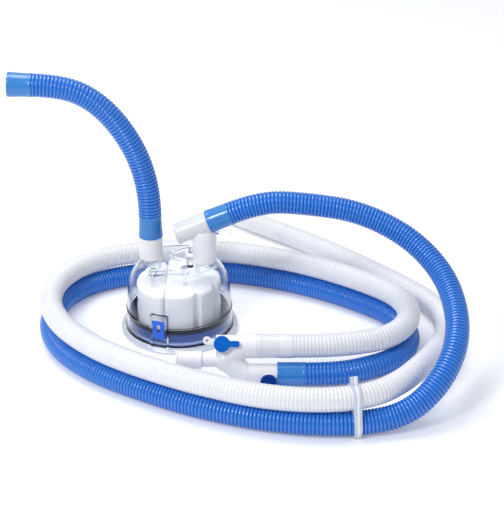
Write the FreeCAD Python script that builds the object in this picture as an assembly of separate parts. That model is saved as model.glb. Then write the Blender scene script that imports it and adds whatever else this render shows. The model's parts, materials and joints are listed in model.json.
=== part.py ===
"""Ventilator breathing circuit: humidification chamber, dry line, inspiratory and expiratory limbs, Y-piece.

Millimetres, +Z up. The origin is the centre of the chamber's base, on the surface that the circuit lies on.
The camera side is -Y. Each node is one physical piece, written to parts/NODE.step.
"""
import FreeCAD, Part
import math
import os

V = FreeCAD.Vector

# Conical connector sizes: 22 mm on the limbs and the chamber, 15 mm on the patient side.
cone_22_r = 10.95          # outside of a 22 mm male cone
cone_22_bore = 9.3         # gas way through it
socket_22_r = 11.0         # inside of a 22 mm female cuff
socket_15_r = 7.5          # inside of the 15 mm patient socket
cone_depth = 22.0          # how far a male cone goes into its cuff
through = 100.0            # longer than any bore that is cut with it

# Hoses and their cuffs.
hose_od = 25.4
cuff_length = 26.0
cuff_mouth_r = 12.6
cuff_neck_r = 11.7
lay_z = hose_od / 2        # centre of a hose that lies on the surface
stack_gap = 0.8            # between a hose and the one stacked on it
stack_z = lay_z + hose_od + stack_gap

# Chamber.
wall = 1.8                 # clear dome wall
dome_foot_r = 60.8         # outside of the wall above the rim
dome_draft = 3.4           # how much the wall closes in up to its waist
dome_waist_r = dome_foot_r - dome_draft     # outside of the wall where the shoulder starts
dome_waist_z = 50.0
crown_z = 87.0             # top of the deck
shoulder_mid_in = 4.8      # from the waist's radius in to the middle of the shoulder
shoulder_top_in = 16.4     # and to its top, where the deck starts
deck_rise = 5.0
shoulder_mid = (dome_waist_r - shoulder_mid_in, 68.5)
shoulder_top = (dome_waist_r - shoulder_top_in, crown_z - deck_rise)
rim_step = 4.0
rim_r = dome_foot_r + rim_step        # moulded rim that the crimp ring grips
rim_z0 = 1.0
rim_h = 3.6
bead_z = 27.5              # moulded bead above the seal
bead_r = 0.9
crimp_t = 0.8
crimp_r = rim_r + 0.3 + crimp_t
crimp_top = rim_z0 + rim_h + 0.05 + crimp_t
fit_gap = 0.3              # clearance between neighbouring moulded faces
seat_gap = 0.1             # clearance under the deck of what is glued to it
plate_t = 1.2              # aluminium base plate
plate_wall_h = 20.0
plate_wall_t = 2.2
seal_h = 5.0
seal_w = 2.2
tab_azimuth = -109.0       # where the level tab's pocket stands on the wall
pocket_stand = 3.0         # how far the pocket stands out of the wall at its foot
pocket_wall = 1.5
slot_x = 0.2               # from the wall at its foot to the pocket's slot
pocket_top = 44.0
tab_z0 = 15.5
tab_h = 22.5
tab_foot_w = 12.4
tab_head_w = 15.0
tab_t = 1.6
tab_play = 1.0             # sideways room for the tab in its pocket
tab_window = (4.2, 9.0)    # width and height of the opening in the tab

# Ports of the chamber: x, y on the deck.
inlet_xy = (-30.0, 4.0)
outlet_xy = (29.5, -4.0)
port_h = 21.0
skirt_h = 14.5
port_top_z = crown_z + port_h
skirt_z = crown_z - skirt_h     # lowest edge of the skirts that hang under the ports
skirt_slant_deg = 22.0
skirt_rise = 3.0           # height of the slant's middle over its lowest edge

# Water feed: a tube that bows over the deck between two bosses.
feed_r = 2.4
feed_lift = 4.4
feed_z = crown_z + feed_lift    # axis of the tube
feed_route = ((14.5, 15.5), (1.5, 11.0), (-9.5, -1.5), (-1.0, -14.5), (14.0, -18.5))
feed_boss_r = 3.8
feed_boss_top = feed_z + feed_r + 0.8
valve_r = 7.0
valve_h = 11.0
valve_z0 = crown_z - valve_h
valve_cone_h = 5.0
valve_bore_r = 1.5

# Inlet adaptor and dry line cuff.
adaptor_sink = 1.5         # how far the adaptor's foot goes down past the top of the deck
adaptor_step = 4.0         # from the port's top to the foot of the adaptor's own cone
adaptor_z0 = crown_z - adaptor_sink
adaptor_z1 = port_top_z + adaptor_step
adaptor_r = 12.3
collar_r = 13.0
collar_h = 2.4

# Outlet elbow: a vertical stem and an arm that rises to the right.
stem_r = 13.2
stem_bore = 8.6
stem_sink = 2.5
stem_z0 = crown_z - stem_sink
stem_edge_r = 1.6          # rounding of the stem's ends
arm_lift = 22.5
arm_z = port_top_z + arm_lift   # height where the arm's axis crosses the stem's
stem_under = 8.0
stem_top_z = arm_z - stem_under
arm_rise_deg = 23.0
arm_r = 12.2               # where the cuff starts
arm_back_r = 11.4          # at the mouth of the heater plug's shroud
arm_lip = (0.8, 2.0)       # how far the lip round that mouth stands out, and its length
arm_back = 33.0            # arm behind the stem's axis, ending in the heater plug's shroud
arm_front = 5.5            # arm before the stem's axis, up to the cuff
limb_start = 32.0          # from the stem's axis to the hose, along the arm
shroud_depth = 12.0
shroud_bore = 10.0
socket_t = 4.0
pin_count = 3
pin_r = 1.1
pin_circle_r = 4.2
probe_under = 14.5
probe_z = arm_z - probe_under   # axis of the probe port in the stem
probe_r = 3.4
probe_head_r = 4.6
probe_head_t = 2.4
tongue_size = (17.0, 9.0, 1.6)
tongue_rise_deg = 8.0

# Floats in the chamber.
float_room = 8.6           # water between the floats and the wall at the waist
float_r = dome_waist_r - wall - float_room
float_z0 = plate_t + fit_gap
float_head = 24.0          # from the primary float's top to the top of the deck
float_step = 2.0           # between the tops of the two floats
primary_top = crown_z - float_head
secondary_top = primary_top - float_step
float_wall = 1.6
float_split_x = -14.0
float_split_gap = 2.0
float_corner_r = 4.0       # rounding of the upright edges
float_edge_r = 5.0         # rounding of the upper edge
float_inner_r = 2.6
crown_h = 1.4              # raised round field on a float's top
crown_sink = 0.6           # how deep the crown's foot goes into the top
crown_slope = 2.0
primary_crown_r = 13.0
secondary_crown_r = 7.0
channel_azimuths = (-62, -28, 28, 62)
channel_r = 4.6
primary_post_xy = (8.0, -20.0)
secondary_post_xy = (-27.0, -22.0)
post_r = 2.2
post_clearance = 0.08
post_boss_wall = 2.4
guide_under = 11.0
guide_z = crown_z - guide_under     # plate that joins the two posts under the deck
guide_h = 2.2
guide_w = 9.0

# Y-piece: its own x runs with the ports, its own z from the lower port to the upper one.
port_pitch = 29.6
y_tilt_deg = 25.0          # leans back, away from the camera side
y_lower_y = -127.5
hub_x = 55.0
leg_x = 74.0
hub_r = 13.0
leg_r = 11.8
collar_x1 = 87.0           # end of the upper port's collar, where the white cuff starts
lower_port_x1 = 108.6      # end of the bare lower port, where the blue cuff starts
upper_collar_r = 13.1
stub_x0 = 44.0             # closed end of the upper port, past the hub
stub_bore = 8.7
spigot_r = 7.0
spigot_x0 = 20.0
spigot_wall = 1.5
swivel_x0 = 1.5
swivel_x1 = 29.0
swivel_r = 9.4
swivel_clearance = 0.06
swivel_rims = ((1.5, 2.2, 0.8), (26.0, 3.0, 0.5))   # start, width and height of the swivel's raised rims
neck_r = 7.6               # between the swivel and the hub
ring_x = 23.0              # seal in the spigot's groove
ring_w = 1.6
ring_depth = 0.7
lug_at = (34.5, 20.5)      # tether lug, own x and z
lug_r = 4.4
lug_hole_r = 1.4
lug_t = 3.2
lug_arm = (14.0, 6.4)
upper_cap_x = 50.5
lower_cap_x = 99.5
upper_boss_deg = -12.0     # each boss is turned down by this many degrees from the Y-piece's own front
lower_boss_deg = y_tilt_deg
boss_r = 5.6
boss_bore = 4.3
boss_top = 15.2            # from the port's axis to the boss's face
cap_r = 8.6
cap_t = 2.2
cap_corner_r = 2.4
cap_rim_w = 1.3
cap_rim_h = 0.9
plug_r = 4.22
plug_l = 6.0
tail_l = 18.6              # from the cap's centre to the end of its pull tab
tail_w = 6.4
white_cuff_x1 = 126.0
white_collar_l = 12.0      # collar at the hose's end of the white cuff
blue_cuff_x1 = lower_port_x1 + cuff_length + 4.4

# Expiratory limb's machine end.
sleeve_length = 60.0
connector_length = 26.0

# Clip that holds the two limbs together.
clip_x = 185.5
clip_centres = ((-222.7, lay_z), (-216.7, stack_z))   # y and z of the two hoses there
clip_heading_deg = 10.0
clip_wall = 1.7
clip_width = 11.0
clip_clearance = 0.6
clip_throat = 4.0          # half the opening between the two rings
clip_foot_z = 1.2
clip_foot_y = 9.0
clip_foot_t = 3.2
ridge_w = 2.6
ridge_h = 1.2
lip_t = 2.4
lip_h = 9.0
lip_shift = 1.5
lip_y = -4.0

# Hose routes: points chosen by hand, in millimetres. The ends that meet the chamber follow its ports.
arm_dir = (math.cos(math.radians(arm_rise_deg)), 0.0, math.sin(math.radians(arm_rise_deg)))
arm_origin = (outlet_xy[0], outlet_xy[1], arm_z)
dry_start = (inlet_xy[0], inlet_xy[1], adaptor_z1 + cuff_length)
dry_route = [
    dry_start, (-30, 4, 163), (-40, 4, 206), (-61, 4, 245), (-89, 4, 274), (-122, 4, 287), (-150, 4, 288),
]
limb_out = 35.85           # straight run of the inspiratory limb out of its cuff
limb_reach = (limb_start, limb_start + limb_out)
limb_ends = [tuple(o + d * reach for o, d in zip(arm_origin, arm_dir)) for reach in limb_reach]
inspiratory_route = limb_ends + [
    (141, -5, 155), (199, -8, 147), (253, -27, 125.5), (287, -64, 101), (297.5, -113, 80.5), (293, -156, 63.5),
    (274.5, -190, 43), (247.5, -210.5, 23), (214, -219.5, 12.7), (156, -226, 12.7), (88, -214, 12.7),
    (22, -189, 12.7), (-38, -155, 12.7), (-90, -119, 12.7), (-130, -72, 12.7), (-147, -14, 12.7),
    (-138, 43, 12.7), (-102, 87, 12.7), (-40, 110, 12.7), (28, 114, 12.7), (96, 99, 12.7), (160, 69, 12.7),
    (215, 29, 12.7), (245.7, -3.7, 12.7), (256.6, -37.5, 12.7), (251.7, -72.7, 12.7), (232.4, -100.7, 12.7),
    (198, -119, 12.7), (168, -127.5, 12.7), (139, -127.5, 12.7),
]
expiratory_route = [
    (126, -115, 39.5), (160, -115, 39.5), (198, -107, 38.9), (228.6, -94.6, 38.9), (249.8, -69.3, 38.9),
    (256.9, -36.1, 38.9), (247, -1.5, 38.9), (215, 31, 38.9), (160, 71, 38.9), (96, 101.5, 38.9),
    (28, 117.5, 38.9), (-40, 115, 38.9), (-102, 93, 38.9), (-138.5, 48, 38.9), (-147, -9, 38.9),
    (-128, -66, 38.9), (-87, -116, 38.9), (-37, -153, 38.9), (26, -189, 38.9), (94, -216.5, 38.9),
    (156, -223.5, 38.9), (204, -212.5, 38.9), (234.5, -184.5, 37.5), (258, -148, 34), (278, -106, 27),
    (294, -62, 18.5), (301, -16, 12.7), (291, 31, 12.7), (253, 81, 12.7), (204, 138, 12.7), (154, 189, 12.7),
    (122, 217, 12.7),
]


def cylinder(radius, start, direction, length):
    return Part.makeCylinder(radius, length, V(*start), V(*direction))


def cone(r0, r1, start, direction, length):
    return Part.makeCone(r0, r1, length, V(*start), V(*direction))


def ring(outer, inner, z0, height, xy=(0, 0)):
    body = Part.makeCylinder(outer, height, V(xy[0], xy[1], z0))
    hole = Part.makeCylinder(inner, height, V(xy[0], xy[1], z0))
    return body.cut(hole)


def lathe(edges):
    """Turn a closed profile of edges, drawn in the XZ plane, about the Z axis, with its faces outwards."""
    body = Part.Face(Part.Wire(edges)).revolve(V(0, 0, 0), V(0, 0, 1), 360)
    if body.Volume < 0:
        body.reverse()
    return body


def lines(points):
    """Straight edges through (r, z) points."""
    spots = [V(r, 0, z) for r, z in points]
    return [Part.LineSegment(a, b).toShape() for a, b in zip(spots, spots[1:])]


def turned(points):
    """A turned solid from a closed outline of (r, z) points."""
    return lathe(lines(points + points[:1]))


def arc(a, mid, b):
    return Part.Arc(V(a[0], 0, a[1]), V(mid[0], 0, mid[1]), V(b[0], 0, b[1])).toShape()


def unit(a, b):
    d = b - a
    d.normalize()
    return d


def hose_path(name, route):
    """Straight runs joined by tangent arcs, each as large as its two runs allow."""
    spots = [V(*p) for p in route]
    edges = []
    radii = []
    last = spots[0]
    for before, here, after in zip(spots, spots[1:], spots[2:]):
        into = unit(before, here)
        out = unit(here, after)
        half_turn = into.getAngle(out) / 2
        cut = 0.45 * min((here - before).Length, (after - here).Length)
        radii.append(cut / math.tan(half_turn))
        a = here - into * cut
        b = here + out * cut
        inward = out - into
        inward.normalize()
        centre = here + inward * (cut / math.sin(half_turn))
        mid = centre - inward * radii[-1]
        edges.append(Part.LineSegment(last, a).toShape())
        edges.append(Part.Arc(a, mid, b).toShape())
        last = b
    edges.append(Part.LineSegment(last, spots[-1]).toShape())
    path = Part.Wire(edges)
    print(name, "length", round(path.Length), "radii", [round(r) for r in radii])
    return path


def hose(name, route):
    """A plain round hose along its path."""
    path = hose_path(name, route)
    start = V(*route[0])
    section = Part.Wire(Part.Circle(start, unit(start, V(*route[1])), hose_od / 2).toShape())
    body = path.makePipeShell([section], True, False)
    expected = math.pi * (hose_od / 2) ** 2 * path.Length
    print(name, "volume over section times length", round(body.Volume / expected, 4))
    return body


def cuff(mouth, direction, length=cuff_length, mouth_r=cuff_mouth_r, neck_r=cuff_neck_r):
    """A female cuff: its mouth at one end of a hose's cone, tapering to the neck that the hose leaves."""
    outer = cone(mouth_r, neck_r, mouth, direction, length)
    outer = outer.cut(cylinder(socket_22_r, mouth, direction, cone_depth))
    return outer.cut(cylinder(cone_22_bore, mouth, direction, length))


def along(start, direction, distance):
    return tuple(s + d * distance for s, d in zip(start, direction))


# Chamber

def crown_height(r, inset=0.0):
    """Height of the deck at this radius: a shallow ball cap over the shoulder, moved inwards by inset."""
    drop = crown_z - shoulder_top[1]
    ball_r = (shoulder_top[0] ** 2 + drop ** 2) / (2 * drop)
    return crown_z - ball_r + math.sqrt((ball_r - inset) ** 2 - r ** 2)


def dome_outline(inset):
    """The dome's outline from its foot to the centre of the deck, moved inwards by inset."""
    foot = (dome_foot_r - inset, rim_z0)
    waist = (dome_waist_r - inset, dome_waist_z)
    slope = inset * math.sqrt(0.5)
    middle = (shoulder_mid[0] - slope - inset * 0.2, shoulder_mid[1] - slope * 0.4)
    top = (shoulder_top[0] - slope, crown_height(shoulder_top[0] - slope, inset))
    half_way = top[0] / 2
    peak = (0, crown_height(0, inset))
    edges = lines([foot, waist])
    edges.append(arc(waist, middle, top))
    edges.append(arc(top, (half_way, crown_height(half_way, inset)), peak))
    edges += lines([peak, (0, rim_z0), foot])
    return edges


def inner_r(z):
    """Inside radius of the dome's wall at this height, below its shoulder."""
    taper = (dome_foot_r - dome_waist_r) / (dome_waist_z - rim_z0)
    return dome_foot_r - wall - taper * (z - rim_z0)


def port_tube(xy):
    """A male port through the deck, with a skirt that hangs under it and is cut off at a slant."""
    tube = cylinder(cone_22_r, (xy[0], xy[1], skirt_z), (0, 0, 1), port_top_z - skirt_z)
    side = 4 * cone_22_r
    slant = Part.makeBox(side, side, side, V(-side / 2, -side / 2, -side))
    slant.rotate(V(0, 0, 0), V(0, 1, 0), skirt_slant_deg if xy[0] < 0 else -skirt_slant_deg)
    slant.translate(V(xy[0], xy[1], skirt_z + skirt_rise))
    return tube.cut(slant)


def tab_pocket():
    """Upright box on the outside of the wall, and its hollow, open at the top, for the blue level tab."""
    inside = tab_head_w + 2 * tab_play
    width = inside + 2 * pocket_wall
    depth = 3 * pocket_stand
    z0 = crimp_top + fit_gap
    box = Part.makeBox(depth, width, pocket_top - z0, V(dome_foot_r + pocket_stand - depth, -width / 2, z0))
    box = box.makeFillet(pocket_wall, [e for e in box.Edges if e.BoundBox.XMin > dome_foot_r])
    slot_t = tab_t + 2 * fit_gap
    corner = V(dome_foot_r + slot_x, -inside / 2, tab_z0 - fit_gap)
    hollow = Part.makeBox(slot_t, inside, pocket_top - tab_z0 + 1, corner)
    for shape in (box, hollow):
        shape.rotate(V(0, 0, 0), V(0, 0, 1), tab_azimuth)
    return box, hollow


def feed_boss(xy):
    """Upright boss on the deck that the feed tube ends in."""
    z0 = crown_z - 3 * wall
    return cylinder(feed_boss_r, (xy[0], xy[1], z0), (0, 0, 1), feed_boss_top - z0)


def chamber_dome():
    shell = lathe(dome_outline(0))
    rim = ring(rim_r, dome_foot_r - wall, rim_z0, rim_h)
    bead = Part.makeTorus(inner_r(bead_z) + wall, bead_r, V(0, 0, bead_z))
    box, hollow = tab_pocket()
    shell = shell.fuse(box).fuse(bead).fuse(feed_boss(feed_route[0])).fuse(feed_boss(feed_route[-1]))
    shell = shell.cut(lathe(dome_outline(wall))).fuse(rim)
    for xy in (inlet_xy, outlet_xy):
        shell = shell.fuse(port_tube(xy))
        shell = shell.cut(cylinder(cone_22_bore, (xy[0], xy[1], skirt_z - 5), (0, 0, 1), port_top_z))
    return shell.cut(hollow).removeSplitter()


def base_plate():
    """Drawn aluminium cup: a flat bottom that rests on the heater and a wall that carries the seal."""
    foot = inner_r(rim_z0) - fit_gap
    neck = inner_r(plate_wall_h - 2) - fit_gap - 0.5
    lip = inner_r(plate_wall_h) - fit_gap
    return turned([
        (0, 0), (foot - 2.0, 0), (foot - 0.4, 1.0), (neck, plate_wall_h - 2), (lip, plate_wall_h - 1),
        (lip, plate_wall_h), (lip - plate_wall_t - 0.5, plate_wall_h), (neck - plate_wall_t, plate_wall_h - 2),
        (foot - 0.4 - plate_wall_t, plate_t + 1.6), (foot - 2.0 - plate_wall_t, plate_t), (0, plate_t),
    ])


def crimp_ring():
    """Rolled metal ring that clamps the dome's rim, C-shaped in section."""
    inner = dome_foot_r - wall
    lip_r = dome_foot_r + 1.9
    under = crimp_top - crimp_t
    floor = rim_z0 - 0.1
    return turned([
        (inner, 0), (crimp_r - 1.2, 0), (crimp_r, 1.2), (crimp_r, crimp_top - 1.2), (crimp_r - 1.2, crimp_top),
        (lip_r, crimp_top), (lip_r, under), (rim_r + 0.25, under), (rim_r + 0.25, floor), (inner, floor),
    ])


def base_seal():
    """Black seal on the plate's lip, against the inside of the dome."""
    z0 = plate_wall_h
    r0 = inner_r(z0) - fit_gap
    r1 = inner_r(z0 + seal_h) - fit_gap
    return turned([
        (r0 - seal_w, z0), (r0 - 0.3, z0), (r0, z0 + 0.4), (r1, z0 + seal_h - 0.4), (r1 - 0.3, z0 + seal_h),
        (r1 - seal_w + 0.5, z0 + seal_h), (r0 - seal_w, z0 + 1.2),
    ])


def level_tab():
    """Blue trapezoid tab in its clear pocket."""
    x0 = dome_foot_r + slot_x + fit_gap
    corners = [(-tab_foot_w / 2, tab_z0), (tab_foot_w / 2, tab_z0),
               (tab_head_w / 2, tab_z0 + tab_h), (-tab_head_w / 2, tab_z0 + tab_h)]
    outline = [V(x0, y, z) for y, z in corners]
    tab = Part.Face(Part.makePolygon(outline + outline[:1])).extrude(V(tab_t, 0, 0))
    window_w, window_h = tab_window
    corner = V(x0 - tab_t / 2, -window_w / 2, tab_z0 + 0.4 * tab_h)
    window = Part.makeBox(2 * tab_t, window_w, window_h, corner)
    tab = tab.cut(window)
    tab.rotate(V(0, 0, 0), V(0, 0, 1), tab_azimuth)
    return tab


def half_drum(radius, z0, z1, split_x, keep_right):
    """A drum cut off by an upright plane."""
    drum = Part.makeCylinder(radius, z1 - z0, V(0, 0, z0))
    x0 = split_x if keep_right else -2 * radius
    x1 = 2 * radius if keep_right else split_x
    return drum.common(Part.makeBox(x1 - x0, 4 * radius, z1 - z0, V(x0, -2 * radius, z0)))


def float_body(top, split_x, keep_right, post_xy, crown_r):
    """A hollow float, open below, with a domed crown and a bored boss that runs on its guide post."""
    shell = half_drum(float_r, float_z0, top, split_x, keep_right)
    upright = [e for e in shell.Edges if e.BoundBox.ZLength > top - float_z0 - 1]
    shell = shell.makeFillet(float_corner_r, upright)
    upper = [e for e in shell.Edges if e.BoundBox.ZMin > top - 0.1]
    shell = shell.makeFillet(float_edge_r, upper)
    inner_split = split_x + (float_wall if keep_right else -float_wall)
    hollow = half_drum(float_r - float_wall, float_z0, top - float_wall, inner_split, keep_right)
    upright = [e for e in hollow.Edges if e.BoundBox.ZLength > top - float_z0 - 2 * float_wall]
    hollow = hollow.makeFillet(float_inner_r, upright)
    shell = shell.cut(hollow)
    spot = (post_xy[0], post_xy[1], float_z0)
    shell = shell.fuse(cylinder(post_r + post_boss_wall, spot, (0, 0, 1), top - float_z0))
    foot = (post_xy[0], post_xy[1], top - crown_sink)
    shell = shell.fuse(cone(crown_r, crown_r - crown_slope, foot, (0, 0, 1), crown_sink + crown_h))
    bore = cylinder(post_r + post_clearance, (post_xy[0], post_xy[1], 0), (0, 0, 1), through)
    return shell.cut(bore).removeSplitter()


def primary_float():
    """The larger float, with upright channels pressed into its wall."""
    split_x = float_split_x + float_split_gap / 2
    body = float_body(primary_top, split_x, True, primary_post_xy, primary_crown_r)
    inside = Part.makeCylinder(float_r - float_wall / 4, through)
    for azimuth in channel_azimuths:
        a = math.radians(azimuth)
        spot = (float_r * 1.02 * math.cos(a), float_r * 1.02 * math.sin(a), float_z0)
        body = body.cut(cylinder(channel_r, spot, (0, 0, 1), primary_top))
        outer = cylinder(channel_r + float_wall, spot, (0, 0, 1), primary_top - float_z0 - float_wall)
        channel = outer.cut(cylinder(channel_r, spot, (0, 0, 1), primary_top))
        body = body.fuse(channel.common(inside))
    return body.removeSplitter()


def secondary_float():
    split_x = float_split_x - float_split_gap / 2
    return float_body(secondary_top, split_x, False, secondary_post_xy, secondary_crown_r)


def float_guide():
    """Clear guide moulding: two posts for the floats, hanging from a plate under the deck."""
    ends = [V(x, y, guide_z) for x, y in (secondary_post_xy, primary_post_xy)]
    span = ends[1] - ends[0]
    plate = Part.makeBox(span.Length, guide_w, guide_h, V(0, -guide_w / 2, 0))
    plate.rotate(V(0, 0, 0), V(0, 0, 1), math.degrees(math.atan2(span.y, span.x)))
    plate.translate(ends[0])
    for end in ends:
        plate = plate.fuse(cylinder(guide_w / 2, tuple(end), (0, 0, 1), crown_z - guide_z))
        plate = plate.fuse(cylinder(post_r, (end.x, end.y, plate_t), (0, 0, 1), guide_z + guide_h - plate_t))
    return plate.common(lathe(dome_outline(wall + fit_gap))).removeSplitter()


# Water feed on the deck

def feed_tube():
    """Clear feed tube that bows over the deck between its two bosses."""
    route = [(x, y, feed_z) for x, y in feed_route]
    path = hose_path("feed_tube", route)
    start = V(*route[0])
    section = Part.Wire(Part.Circle(start, unit(start, V(*route[1])), feed_r).toShape())
    tube = path.makePipeShell([section], True, False)
    for x, y in (feed_route[0], feed_route[-1]):
        tube = tube.cut(cylinder(feed_boss_r + seat_gap, (x, y, crown_z), (0, 0, 1), through))
    return tube


def valve_housing():
    """Feed valve's housing, glued under the deck below a feed boss, with its outlet at the bottom."""
    x, y = feed_route[0]
    z0 = valve_z0 + valve_cone_h
    body = cylinder(valve_r, (x, y, z0), (0, 0, 1), crown_z - z0)
    body = body.fuse(cone(valve_r, valve_r / 2, (x, y, z0), (0, 0, -1), valve_cone_h))
    body = body.common(lathe(dome_outline(wall + seat_gap)))
    return body.cut(cylinder(valve_bore_r, (x, y, valve_z0), (0, 0, 1), 1.5 * valve_cone_h)).removeSplitter()


# Inlet side

def inlet_adaptor():
    """White adaptor: a socket over the chamber's port, and a male cone for the dry line's cuff."""
    x, y = inlet_xy
    body = cylinder(adaptor_r, (x, y, adaptor_z0), (0, 0, 1), adaptor_z1 - adaptor_z0)
    body = body.fuse(cylinder(collar_r, (x, y, adaptor_z0), (0, 0, 1), collar_h))
    body = body.fuse(cylinder(cone_22_r, (x, y, adaptor_z1), (0, 0, 1), cone_depth - 1))
    body = body.cut(cylinder(socket_22_r, (x, y, adaptor_z0), (0, 0, 1), port_top_z - adaptor_z0 + fit_gap))
    body = body.cut(cylinder(cone_22_bore, (x, y, adaptor_z0), (0, 0, 1), through))
    return body.cut(lathe(dome_outline(-fit_gap))).removeSplitter()


def dry_line_cuff():
    return cuff((inlet_xy[0], inlet_xy[1], adaptor_z1), (0, 0, 1))


def dry_line_end_cuff():
    """Plain 22 mm cuff on the machine end of the dry line; its mouth faces away from the hose."""
    before, end = dry_route[-2:]
    d = unit(V(*before), V(*end))
    mouth = along(end, d, cuff_length)
    return cuff(mouth, (-d.x, -d.y, -d.z))


# Outlet elbow

def elbow_body():
    """Moulded elbow: stem over the chamber's port, arm to the limb, shroud for the heater plug behind."""
    x, y = outlet_xy
    back = along(arm_origin, arm_dir, -arm_back)
    front = along(arm_origin, arm_dir, arm_front)
    stem = cylinder(stem_r, (x, y, stem_z0), (0, 0, 1), stem_top_z - stem_z0)
    stem = stem.makeFillet(stem_edge_r, [e for e in stem.Edges if e.BoundBox.ZLength < 1])
    arm = cone(arm_back_r, arm_r, back, arm_dir, arm_back + arm_front)
    lip = cylinder(arm_back_r + arm_lip[0], back, arm_dir, arm_lip[1])
    nose = cylinder(cone_22_r, front, arm_dir, cone_depth - 1)
    cuff_space = cylinder(cuff_mouth_r + fit_gap, front, arm_dir, through)
    body = stem.fuse(arm).cut(cuff_space).fuse(lip).fuse(nose)
    body = body.cut(cylinder(socket_22_r, (x, y, stem_z0), (0, 0, 1), port_top_z - stem_z0 + fit_gap))
    body = body.cut(cylinder(stem_bore, (x, y, stem_z0), (0, 0, 1), arm_z - stem_z0))
    gas_start = along(back, arm_dir, shroud_depth + socket_t)
    body = body.cut(cylinder(cone_22_bore, gas_start, arm_dir, through))
    body = body.cut(cylinder(shroud_bore, back, arm_dir, shroud_depth + socket_t))
    body = body.cut(probe_hole()).cut(lathe(dome_outline(-fit_gap)))
    return body.removeSplitter()


def probe_hole():
    start = (outlet_xy[0] + stem_bore - 2, outlet_xy[1], probe_z)
    return cylinder(probe_r + 0.05, start, (1, 0, 0), stem_r)


def probe_port_cap():
    """Clear cap on the elbow's probe port, with a tongue to pull it by."""
    x0 = outlet_xy[0] + stem_r + fit_gap
    y = outlet_xy[1]
    plug_x = outlet_xy[0] + stem_bore + 0.2
    plug = cylinder(probe_r, (plug_x, y, probe_z), (1, 0, 0), x0 - plug_x + 1)
    head = cylinder(probe_head_r, (x0, y, probe_z), (1, 0, 0), probe_head_t)
    length, width, thickness = tongue_size
    root = V(x0 + 1, y, probe_z + 1.5)
    tongue = Part.makeBox(length, width, thickness, root - V(0, width / 2, 0))
    tip = [e for e in tongue.Edges if e.BoundBox.XMin > x0 + length and e.BoundBox.ZLength > 1]
    tongue = tongue.makeFillet(width * 0.48, tip)
    tongue.rotate(root, V(0, 1, 0), -tongue_rise_deg)
    return plug.fuse(head).fuse(tongue).removeSplitter()


def heater_socket():
    """Insulating insert in the shroud, with holes for its contacts."""
    back = along(arm_origin, arm_dir, -arm_back)
    start = along(back, arm_dir, shroud_depth)
    disc = cylinder(shroud_bore - 0.05, start, arm_dir, socket_t)
    for spot in pin_spots():
        disc = disc.cut(cylinder(pin_r, spot, arm_dir, socket_t))
    return disc


def pin_spots():
    """Contact centres on the insert's outer face."""
    back = along(arm_origin, arm_dir, -arm_back)
    start = along(back, arm_dir, shroud_depth)
    up = (-arm_dir[2], 0.0, arm_dir[0])
    spots = []
    for i in range(pin_count):
        a = 2 * math.pi * i / pin_count
        side = along(start, (0, 1, 0), pin_circle_r * math.sin(a))
        spots.append(along(side, up, pin_circle_r * math.cos(a)))
    return spots


def socket_pins():
    """Brass contacts, flush with the insert so that the plug's recess stays free."""
    return Part.makeCompound([cylinder(pin_r, spot, arm_dir, socket_t) for spot in pin_spots()])


def inspiratory_chamber_cuff():
    return cuff(along(arm_origin, arm_dir, arm_front), arm_dir, length=limb_start - arm_front)


# Y-piece, built upright about its own centre and then laid in place

def lay_y(shape):
    """Lean the Y-piece back and set it down with its lower port at hose height."""
    shape.rotate(V(0, 0, 0), V(1, 0, 0), -y_tilt_deg)
    shape.translate(y_centre)
    return shape


y_up = V(0, math.sin(math.radians(y_tilt_deg)), math.cos(math.radians(y_tilt_deg)))
y_centre = V(0, y_lower_y, lay_z) + y_up * (port_pitch / 2)
half_pitch = port_pitch / 2


def boss_axis(degrees):
    """Direction of a boss, turned down from the Y-piece's front by this many degrees."""
    a = math.radians(degrees)
    return (0.0, -math.cos(a), -math.sin(a))


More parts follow.
